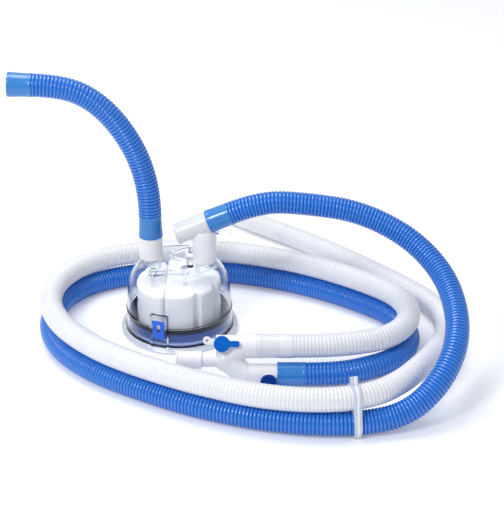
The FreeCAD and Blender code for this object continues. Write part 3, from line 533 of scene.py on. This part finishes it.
def makeFinish(name):
    facts = finishes[name]
    material = bpy.data.materials.new(name)
    material.use_nodes = True
    nodes, links = material.node_tree.nodes, material.node_tree.links
    surface = nodes["Principled BSDF"]
    mould = nodes.new("ShaderNodeGroup")
    mould.node_tree = mouldGroup
    mould.inputs["Color"].default_value = facts["color"]
    mould.inputs["Mottle"].default_value = facts["mottle"]
    mould.inputs["Roughness"].default_value = facts["rough"]
    mould.inputs["Gloss Change"].default_value = facts["rough"] * usual["glossChange"]
    mould.inputs["Ripple Depth"].default_value = facts["ripple"]
    if "zoneColor" in facts:
        zone = attributeNode(nodes, "zone")
        color = mixNode(nodes, links, "RGBA", zone, facts["color"], facts["zoneColor"])
        links.new(color, mould.inputs["Color"])
    if "frost" in facts:
        frost = nodes.new("ShaderNodeGroup")
        frost.node_tree = frostGroup
        frost.inputs["Clear"].default_value = facts["rough"]
        frost.inputs["Frosted"].default_value = facts["frost"]
        links.new(frost.outputs["Roughness"], mould.inputs["Roughness"])
    links.new(mould.outputs["Color"], surface.inputs["Base Color"])
    links.new(mould.outputs["Roughness"], surface.inputs["Roughness"])
    links.new(mould.outputs["Normal"], surface.inputs["Normal"])
    surface.inputs["IOR"].default_value = facts.get("ior", usual["ior"])
    surface.inputs["Metallic"].default_value = facts.get("metal", 0.0)
    surface.inputs["Transmission Weight"].default_value = facts.get("through", 0.0)
    surface.inputs["Specular IOR Level"].default_value = facts.get("shine", usual["shine"])
    surface.inputs["Specular Tint"].default_value = facts.get("tint", (1, 1, 1, 1))
    surface.inputs["Coat Weight"].default_value = facts.get("coat", 0.0)
    surface.inputs["Coat Roughness"].default_value = usual["coatRough"]
    if facts.get("through", 0.0) > usual["clearFrom"]:
        letShadowRaysPass(nodes, links, surface, usual["shadowRaysPassed"])
    return material


# each hose's groove colour is painted shade, darker than its crest colour
hoseFinishes = {
    "blueHose": {"crest": srgb(22, 124, 222), "groove": srgb(6, 88, 198), "rough": 0.22, "shine": 0.45,
                 "coat": 1.0},
    "whiteHose": {"crest": srgb(239, 240, 244), "groove": srgb(236, 238, 243), "rough": 0.22, "shine": 0.5,
                  "coat": 0.6},
}

hoseSurface = {"Mottle": 0.08, "Gloss Change": 0.08, "Ripple Depth": 0.0, "Grain Depth": 0.03}
hoseCoatRough = 0.18


def makeHoseFinish(name):
    facts = hoseFinishes[name]
    material = bpy.data.materials.new(name)
    material.use_nodes = True
    nodes, links = material.node_tree.nodes, material.node_tree.links
    surface = nodes["Principled BSDF"]
    rib = nodes.new("ShaderNodeGroup")
    rib.node_tree = ribGroup
    rib.inputs["Crest"].default_value = facts["crest"]
    # painted shade for the grooves
    rib.inputs["Groove"].default_value = facts["groove"]
    rib.inputs["Crest Roughness"].default_value = facts["rough"]
    rib.inputs["Crest Coat"].default_value = facts["coat"]
    mould = nodes.new("ShaderNodeGroup")
    mould.node_tree = mouldGroup
    for label, value in hoseSurface.items():
        mould.inputs[label].default_value = value
    links.new(rib.outputs["Color"], mould.inputs["Color"])
    links.new(rib.outputs["Roughness"], mould.inputs["Roughness"])
    links.new(mould.outputs["Color"], surface.inputs["Base Color"])
    links.new(mould.outputs["Roughness"], surface.inputs["Roughness"])
    links.new(mould.outputs["Normal"], surface.inputs["Normal"])
    surface.inputs["Specular IOR Level"].default_value = facts["shine"]
    links.new(rib.outputs["Coat"], surface.inputs["Coat Weight"])
    surface.inputs["Coat Roughness"].default_value = hoseCoatRough
    return material


finish = {name: makeFinish(name) for name in finishes}
finish.update({name: makeHoseFinish(name) for name in hoseFinishes})
print("finishes ready,", len(finish))


# Hoses: routes listed in millimetres, the same points as the imported tubes

dryRoute = [
    (-30, 4, 138), (-30, 4, 163), (-40, 4, 206), (-61, 4, 245), (-89, 4, 274), (-122, 4, 287), (-150, 4, 288),
]
inspiratoryRoute = [
    (58.96, -4, 143), (91.96, -4, 157.01), (141, -5, 155), (199, -8, 147), (253, -27, 125.5), (287, -64, 101),
    (297.5, -113, 80.5), (293, -156, 63.5), (274.5, -190, 43), (247.5, -210.5, 23), (214, -219.5, 12.7),
    (156, -226, 12.7), (88, -214, 12.7), (22, -189, 12.7), (-38, -155, 12.7), (-90, -119, 12.7),
    (-130, -72, 12.7), (-147, -14, 12.7), (-138, 43, 12.7), (-102, 87, 12.7), (-40, 110, 12.7),
    (28, 114, 12.7), (96, 99, 12.7), (160, 69, 12.7), (215, 29, 12.7), (245.7, -3.7, 12.7),
    (256.6, -37.5, 12.7), (251.7, -72.7, 12.7), (232.4, -100.7, 12.7), (198, -119, 12.7),
    (168, -127.5, 12.7), (139, -127.5, 12.7),
]
expiratoryRoute = [
    (126, -115, 39.5), (160, -115, 39.5), (198, -107, 38.9), (228.6, -94.6, 38.9), (249.8, -69.3, 38.9),
    (256.9, -36.1, 38.9), (247, -1.5, 38.9), (215, 31, 38.9), (160, 71, 38.9), (96, 101.5, 38.9),
    (28, 117.5, 38.9), (-40, 115, 38.9), (-102, 93, 38.9), (-138.5, 48, 38.9), (-147, -9, 38.9),
    (-128, -66, 38.9), (-87, -116, 38.9), (-37, -153, 38.9), (26, -189, 38.9), (94, -216.5, 38.9),
    (156, -223.5, 38.9), (204, -212.5, 38.9), (234.5, -184.5, 37.5), (258, -148, 34), (278, -106, 27),
    (294, -62, 18.5), (301, -16, 12.7), (291, 31, 12.7), (253, 81, 12.7), (204, 138, 12.7),
    (154, 189, 12.7), (122, 217, 12.7),
]

rib = {
    "pitch": 3.85 * mm,        # from one crest to the next
    "crestRadius": 12.7 * mm,
    "rootRadius": {"blueHose": 11.6 * mm, "whiteHose": 12.0 * mm},
    "grooveShape": 3.2,        # the higher, the narrower the grooves and the wider the crests
    "ringsPerRib": 7,
    "segments": 30,
    "lineSteps": 24,           # points read from the spline for each run of the route
}


def splineLine(name, route):
    # the route's smooth line as a mesh of points in order
    curve = bpy.data.curves.new(name, "CURVE")
    curve.dimensions = "3D"
    spline = curve.splines.new("NURBS")
    spline.points.add(len(route) - 1)
    for point, place in zip(spline.points, route):
        point.co = (place[0] * mm, place[1] * mm, place[2] * mm, 1)
    spline.order_u = 3
    spline.use_endpoint_u = True
    spline.resolution_u = rib["lineSteps"]
    obj = newObject(name, curve)
    bpy.context.view_layer.update()
    line = plainCopy(obj)
    dropObject(obj)
    return line


def makeRibTree():
    # line in, ribbed tube out: rings along the line whose radius rises and falls once in each pitch
    tree = bpy.data.node_groups.new("ribbedHose", "GeometryNodeTree")
    face = tree.interface
    face.new_socket(name="Geometry", in_out="INPUT", socket_type="NodeSocketGeometry")
    for label in ("Pitch", "Crest Radius", "Root Radius", "Groove Shape", "Ring Step"):
        face.new_socket(name=label, in_out="INPUT", socket_type="NodeSocketFloat")
    face.new_socket(name="Segments", in_out="INPUT", socket_type="NodeSocketInt")
    face.new_socket(name="Material", in_out="INPUT", socket_type="NodeSocketMaterial")
    face.new_socket(name="Geometry", in_out="OUTPUT", socket_type="NodeSocketGeometry")
    nodes, links = tree.nodes, tree.links
    start = nodes.new("NodeGroupInput")
    end = nodes.new("NodeGroupOutput")
    toCurve = nodes.new("GeometryNodeMeshToCurve")
    resample = nodes.new("GeometryNodeResampleCurve")
    resample.mode = "LENGTH"
    links.new(start.outputs["Geometry"], toCurve.inputs["Mesh"])
    links.new(toCurve.outputs["Curve"], resample.inputs["Curve"])
    links.new(start.outputs["Ring Step"], resample.inputs["Length"])

    def calc(operation, *values):
        return calcNode(nodes, links, operation, *values)

    along = nodes.new("GeometryNodeSplineParameter")
    turns = calc("DIVIDE", along.outputs["Length"], start.outputs["Pitch"])
    wave = calc("COSINE", calc("MULTIPLY", turns, 2 * math.pi))
    groove = calc("POWER", calc("MULTIPLY_ADD", wave, 0.5, 0.5), start.outputs["Groove Shape"])
    depth = calc("SUBTRACT", start.outputs["Root Radius"], start.outputs["Crest Radius"])
    radius = calc("MULTIPLY_ADD", groove, depth, start.outputs["Crest Radius"])
    # the groove share, kept on the mesh for the finish: painted shade, dull gloss and no coat in the grooves
    keep = nodes.new("GeometryNodeStoreNamedAttribute")
    keep.data_type = "FLOAT"
    keep.domain = "POINT"
    keep.inputs["Name"].default_value = "groove"
    links.new(resample.outputs["Curve"], keep.inputs["Geometry"])
    links.new(groove, keep.inputs["Value"])
    circle = nodes.new("GeometryNodeCurvePrimitiveCircle")
    circle.inputs["Radius"].default_value = 1.0
    links.new(start.outputs["Segments"], circle.inputs["Resolution"])
    sweep = nodes.new("GeometryNodeCurveToMesh")
    sweep.inputs["Fill Caps"].default_value = True
    links.new(keep.outputs["Geometry"], sweep.inputs["Curve"])
    links.new(circle.outputs["Curve"], sweep.inputs["Profile Curve"])
    links.new(radius, sweep.inputs["Scale"])
    smooth = nodes.new("GeometryNodeSetShadeSmooth")
    real = nodes.new("GeometryNodeRealizeInstances")
    paint = nodes.new("GeometryNodeSetMaterial")
    links.new(sweep.outputs["Mesh"], smooth.inputs["Geometry"])
    links.new(smooth.outputs["Geometry"], real.inputs["Geometry"])
    links.new(real.outputs["Geometry"], paint.inputs["Geometry"])
    links.new(start.outputs["Material"], paint.inputs["Material"])
    links.new(paint.outputs["Geometry"], end.inputs["Geometry"])
    return tree


def setInputs(modifier, values):
    for item in modifier.node_group.interface.items_tree:
        if item.item_type == "SOCKET" and item.in_out == "INPUT" and item.name in values:
            modifier[item.identifier] = values[item.name]


ribTree = makeRibTree()


def makeHose(name, node, route, finishName):
    line = splineLine(name + "Line", route)
    path = [tuple(v.co) for v in line.vertices]
    length = sum((Vector(b) - Vector(a)).length for a, b in zip(path, path[1:]))
    hose = newObject(name, line)
    modifier = hose.modifiers.new("ribs", "NODES")
    modifier.node_group = ribTree
    setInputs(modifier, {
        "Pitch": rib["pitch"],
        "Crest Radius": rib["crestRadius"], "Root Radius": rib["rootRadius"][finishName],
        "Groove Shape": rib["grooveShape"], "Ring Step": rib["pitch"] / rib["ringsPerRib"],
        "Segments": rib["segments"], "Material": finish[finishName],
    })
    applyModifiers(hose)
    faceOutwards(hose.data)
    smoothByAngle(hose.data, smoothUpTo["ribbed"])
    standFor(hose, node, finish[finishName])
    print(name, "length", round(length, 4), "triangles", triangleCount(hose))
    return hose, path, length


dryHose, dryPath, dryLength = makeHose("dryLineHose", "dry_line_hose", dryRoute, "blueHose")
inspiratoryHose, inspiratoryPath, inspiratoryLength = makeHose(
    "inspiratoryHose", "inspiratory_hose", inspiratoryRoute, "blueHose")
expiratoryHose, expiratoryPath, expiratoryLength = makeHose(
    "expiratoryHose", "expiratory_hose", expiratoryRoute, "whiteHose")


# Turned pieces. Outlines are (distance along the axis, radius) in millimetres.

armRise = math.radians(23)
armDir = (math.cos(armRise), 0, math.sin(armRise))
limbEnd = Vector(expiratoryRoute[-1])
limbEndDir = (limbEnd - Vector(expiratoryRoute[-2])).normalized()
dryEnd = Vector(dryRoute[-1])
dryEndDir = (dryEnd - Vector(dryRoute[-2])).normalized()
portCentre = (0, -121.245, 26.113)      # a point on the axis of the patient socket
upright = (0, 0, 1)
alongX = (1, 0, 0)

socket22 = 11.0         # radius of a 22 mm socket at the middle of its cone
bore = 9.3              # radius of the gas way behind it
seat = 22               # how deep a socket is


def cuffOutline(length, mouth, neck):
    # a female cuff: a lip at its mouth, a slight waist, and a bead where the ribs start
    return [
        (0, socket22), (0, mouth - 0.25), (0.8, mouth), (2.4, mouth), (3.4, mouth - 0.22),
        (0.5 * length, neck + 0.15), (length - 3.4, neck - 0.1), (length - 2.6, neck + 0.15),
        (length - 0.6, neck + 0.15), (length, neck - 0.2), (length, bore), (seat, bore), (seat, socket22),
    ]


cuffBand = {"start": 87, "end": 112.5}          # the greyer stretch of the white cuff, along x
paintedFlangeReflection = {"height": 8.3, "reach": 3.2}     # a painted reflection of the bright flange: a paler band low in the cup's wall


def cuffShare(p):
    return 1.0 if cuffBand["start"] < p.x < cuffBand["end"] else 0.0


# painted reflection: strongest at the flange's mirrored height, fading out within its reach
def paintedReflectionShare(p):
    return max(0.0, 1 - abs(p.z - paintedFlangeReflection["height"]) / paintedFlangeReflection["reach"])


turned = {
    "dryLineCuff": {
        "node": "dry_line_cuff", "finish": "blueCuff", "slot": "blue_cuff",
        "place": (*inlet, 112), "direction": upright, "outline": cuffOutline(26, 13.6, 12.6)},
    "dryLineEndCuff": {
        "node": "dry_line_end_cuff", "finish": "blueCuff", "slot": "blue_cuff",
        "place": dryEnd + dryEndDir * 26, "direction": -dryEndDir, "outline": cuffOutline(26, 13.4, 12.6)},
    "inspiratoryChamberCuff": {
        "node": "inspiratory_chamber_cuff", "finish": "blueCuff", "slot": "blue_cuff",
        "place": Vector((*outlet, 130.5)) + Vector(armDir) * 5.5, "direction": armDir,
        "outline": cuffOutline(26.5, 13.1, 12.6)},
    "inspiratoryYCuff": {
        "node": "inspiratory_y_cuff", "finish": "blueCuff", "slot": "blue_cuff",
        "place": (108.6, -127.5, 12.7), "direction": alongX, "outline": cuffOutline(30.4, 12.65, 12.5)},
    "expiratoryYCuff": {
        "node": "expiratory_y_cuff", "finish": "frostedCuff", "slot": "frosted_cuff", "zone": cuffShare,
        "place": (87, -115, 39.5), "direction": alongX, "outline": [
            (0, socket22), (0, 13.1), (4.5, 13.1), (5.2, 12.8), (24.8, 12.7), (25.6, 13.05), (37.2, 13.0),
            (38.2, 12.7), (39, 12.7), (39, bore), (seat, bore), (seat, socket22)]},
    "inletAdaptor": {
        "node": "inlet_adaptor", "finish": "whiteMoulding", "slot": "white_moulding",
        "place": (*inlet, 0), "direction": upright, "outline": [
            (86.3, socket22), (86.3, 13.5), (88.6, 13.5), (89.2, 13.15), (111.6, 12.95), (112, 12.6),
            (112, 10.95), (133, 10.95), (133, bore), (86.3 + seat, bore), (86.3 + seat, socket22)]},
    "patientSwivel": {
        "node": "patient_swivel", "finish": "whiteMoulding", "slot": "white_moulding",
        "place": portCentre, "direction": alongX, "outline": [
            (1.5, 7.5), (1.5, 10.2), (3.6, 10.2), (4.3, 9.4), (25.4, 9.4), (26, 9.9), (29, 9.9), (29, 7.06),
            (19.7, 7.06), (19.7, 5.5), (18, 5.5), (18, 7.5)]},
    "expiratoryEndSleeve": {
        "node": "expiratory_end_sleeve", "finish": "frostedCuff", "slot": "frosted_cuff",
        "place": limbEnd, "direction": limbEndDir, "outline": [
            (0, bore), (0, 12.3), (1.2, 12.6), (58.6, 12.6), (60, 12.3), (60, socket22),
            (60 - seat, socket22), (60 - seat, bore)]},
    "expiratoryConnector": {
        "node": "expiratory_connector", "finish": "whiteMoulding", "slot": "white_moulding",
        "place": limbEnd + limbEndDir * 60, "direction": limbEndDir, "outline": [
            (-21, bore), (-21, 10.95), (0, 10.95), (0, 12.65), (2.4, 12.65), (3.2, 12.3), (23, 12.3),
            (23.8, 12.65), (26, 12.65), (26, socket22), (26 - seat, socket22), (26 - seat, bore)]},
    "heaterCup": {
        "node": "base_plate", "finish": "cupMetal", "slot": "base_metal", "segments": 180, "zone": paintedReflectionShare,
        "place": (0, 0, 0), "direction": upright, "outline": [
            (0, 0), (0, 56.7), (1.0, 58.3), (5, 58.02), (8.3, 57.8), (11.6, 57.5), (18, 57.02), (19, 57.38),
            (20, 57.38), (20, 54.68), (18, 54.82), (2.8, 56.1), (1.2, 54.5), (1.2, 0)]},
    "baseSeal": {
        "node": "base_seal", "finish": "blackSeal", "slot": "black_seal", "segments": 180,
        "place": (0, 0, 0), "direction": upright, "outline": [
            (20, 55.18), (20, 57.1), (20.4, 57.35), (21.4, 57.28), (21.9, 56.95), (22.9, 56.9), (23.4, 57.15),
            (24.5, 57.03), (25, 56.73), (25, 55.33), (21.2, 55.18)]},
    "crimpRing": {
        "node": "crimp_ring", "finish": "rimMetal", "slot": "rim_metal", "segments": 200,
        "place": (0, 0, 0), "direction": upright, "outline": [
            (0, 59), (0, 64.6), (0.35, 65.4), (1.2, 65.9), (2.1, 65.9), (2.6, 65.4), (3.1, 65.9), (4.3, 65.9),
            (5.1, 65.5), (5.45, 64.9), (5.45, 63.6), (5.1, 63.2), (5.45, 62.8), (5.75, 61.3), (5.0, 61.3),
            (4.65, 62.3), (4.65, 65.05), (0.9, 65.05), (0.9, 59)]},
}

usualSegments = 112
for name, facts in turned.items():
    segments = facts.get("segments", usualSegments)
    piece = turnedPiece(name, facts["outline"], facts["place"], facts["direction"], segments)
    if "zone" in facts:
        markZone(piece, facts["zone"])
    standFor(piece, facts["node"], finish[facts["finish"]])
print("turned pieces ready,", len(turned))


# Mouldings: voxel size in millimetres and how far their edges are eased

def reshape(obj, move):
    # each point moved by a rule on its place in millimetres
    for v in obj.data.vertices:
        v.co = move(v.co / mm) * mm
    obj.data.update()


elbow = {"axis": outlet, "stemRadius": 13.6, "stemTop": 123.0}
parting = {"x": -14.0, "gap": 2.0, "close": 0.88, "reach": 6.0}     # the plane between the two floats
clipRidge = 1.2         # half the width of the clip's white ridge
clip = {"place": (185.5, -220), "headingDeg": 10, "narrow": 0.74, "footTop": 5.0}
lowerCap = {"place": (99.5, 0, 12.7), "rings": (3.4, 5.8), "ringWidth": 0.55, "ringDepth": 0.4}


def armShare(p):
    # the arm is a little darker than the stem, because its wall is thinner
    away = math.hypot(p.x - elbow["axis"][0], p.y - elbow["axis"][1])
    return 1.0 if away > elbow["stemRadius"] or p.z > elbow["stemTop"] else 0.0


def closeParting(p):
    side = p.x - parting["x"]
    near = max(0.0, 1 - (abs(side) - parting["gap"] / 2) / parting["reach"])
    return Vector((p.x - math.copysign(parting["close"] * min(near, 1.0), side), p.y, p.z))


turn = math.radians(clip["headingDeg"])
clipAlong = Vector((math.cos(turn), math.sin(turn), 0))


def clipShift(p):
    # how far a point lies from the middle of the clip's band, along the hoses
    return (p - Vector((clip["place"][0], clip["place"][1], p.z))).dot(clipAlong)


def slimClip(p):
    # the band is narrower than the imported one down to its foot, which keeps its width
    keep = clip["narrow"] + (1 - clip["narrow"]) * max(0.0, 1 - p.z / clip["footTop"])
    return p + clipAlong * clipShift(p) * (keep - 1)


def ridgeShare(p):
    return 1.0 if abs(clipShift(p)) < clipRidge else 0.0


def ringCap(p):
    # shallow rings in the face of the lower cap
    away = math.hypot(p.x - lowerCap["place"][0], p.z - lowerCap["place"][2])
    dip = sum(max(0.0, 1 - abs(away - r) / lowerCap["ringWidth"]) for r in lowerCap["rings"])
    return Vector((p.x, p.y + dip * lowerCap["ringDepth"], p.z))


moulded = {
    "primaryFloat": {"node": "primary_float", "finish": "frostedWhite", "slot": "frosted_white",
                     "voxel": 0.9, "passes": 4, "move": closeParting},
    "secondaryFloat": {"node": "secondary_float", "finish": "frostedWhite", "slot": "frosted_white",
                       "voxel": 0.9, "passes": 4, "move": closeParting},
    "outletElbow": {"node": "elbow_body", "finish": "elbowMoulding", "slot": "white_moulding",
                    "voxel": 0.6, "passes": 5, "zone": armShare},
    "yPiece": {"node": "y_piece_body", "finish": "whiteMoulding", "slot": "white_moulding",
               "voxel": 0.55, "passes": 3},
    "upperPortCap": {"node": "upper_port_cap", "finish": "blueCap", "slot": "blue_cap",
                     "voxel": 0.3, "passes": 4},
    # the lower cap wears the cap blue darkened by painted shade
    "lowerPortCap": {"node": "lower_port_cap", "finish": "paintedShadeBlueCap", "slot": "blue_cap",
                     "voxel": 0.3, "passes": 2, "move": ringCap},
    "levelTab": {"node": "level_tab", "finish": "blueTab", "slot": "blue_tab", "voxel": 0.3, "passes": 3},
    "hoseClip": {"node": "hose_clip", "finish": "clipPlastic", "slot": "white_moulding",
                 "voxel": 0.38, "passes": 2, "move": slimClip, "zone": ridgeShare},
}
for name, facts in moulded.items():
    piece = softCopy(name, facts["node"], facts["voxel"], facts["passes"])
    if "move" in facts:
        reshape(piece, facts["move"])
    if "zone" in facts:
        markZone(piece, facts["zone"])
    standFor(piece, facts["node"], finish[facts["finish"]])
print("mouldings ready,", len(moulded))


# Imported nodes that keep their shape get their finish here

nodeFinish = {
    "chamber_dome": "clearShell",
    "float_guide": "clearTrim",
    "valve_housing": "frostedWhite",
    "feed_tube": "clearTrim",
    "heater_socket": "greyInsert",
    "socket_pins": "contactBrass",
    "probe_port_cap": "clearTrim",
    "swivel_o_ring": "blackSeal",
}
for node, name in nodeFinish.items():
    setMaterial(frame["nodes"][node], finish[name])
